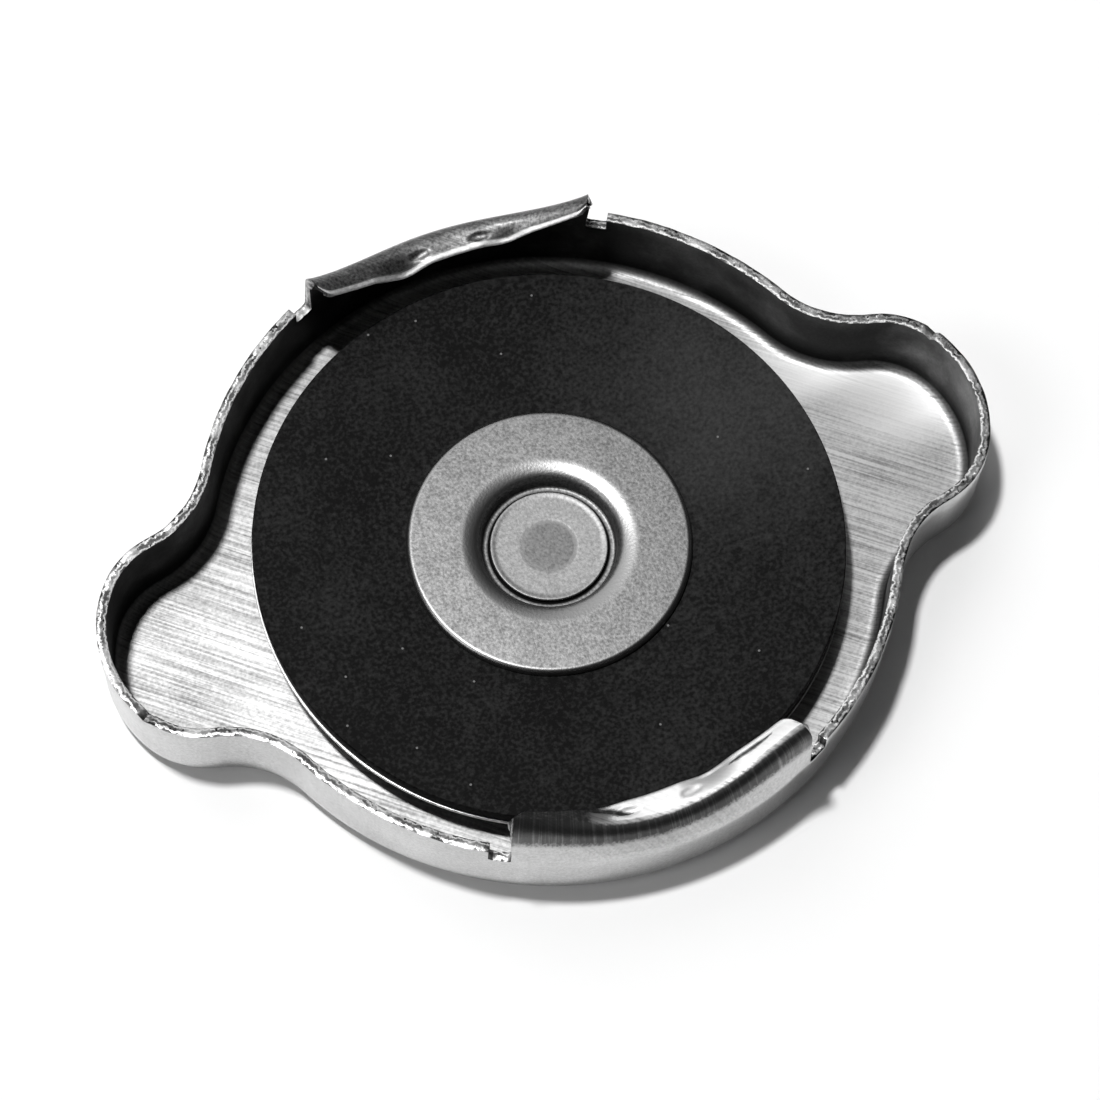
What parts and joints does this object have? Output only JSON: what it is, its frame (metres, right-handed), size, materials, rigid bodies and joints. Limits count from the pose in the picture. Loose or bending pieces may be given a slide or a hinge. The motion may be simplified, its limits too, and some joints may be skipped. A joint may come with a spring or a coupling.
{
  "type": "radiator cap",
  "caption": "Pressed steel bayonet filler cap with grip ears and folded locking lugs, lying open side up with rubber gasket, dished washer and centre rivet.",
  "frame": {"origin": "centre of the crown's outer face, on the rivet's axis, in the plane that the cap rests on", "axes": "+X from ear to ear, +Y from lug to lug, +Z out of the open side"},
  "size_m": [0.084, 0.064, 0.0141],
  "materials": {
    "zinc_plated_steel": "bright zinc plate over rolled and brushed sheet",
    "spring_steel": "bright rolled spring sheet",
    "black_rubber": "matt moulded rubber",
    "satin_steel": "satin, fine grained",
    "rivet_steel": "satin, pressed flat"
  },
  "bodies": {
    "shell": {"cap_shell": "zinc_plated_steel", "centre_rivet": "rivet_steel"},
    "seal": {"spring_disc": "spring_steel", "sealing_gasket": "black_rubber", "retaining_washer": "satin_steel"}
  },
  "joints": [
    {"name": "seal_swivel", "type": "hinge", "parent": "shell", "child": "seal", "pos_m": [0, 0, 0.002], "axis": [0, 0, 1], "continuous": true}
  ]
}
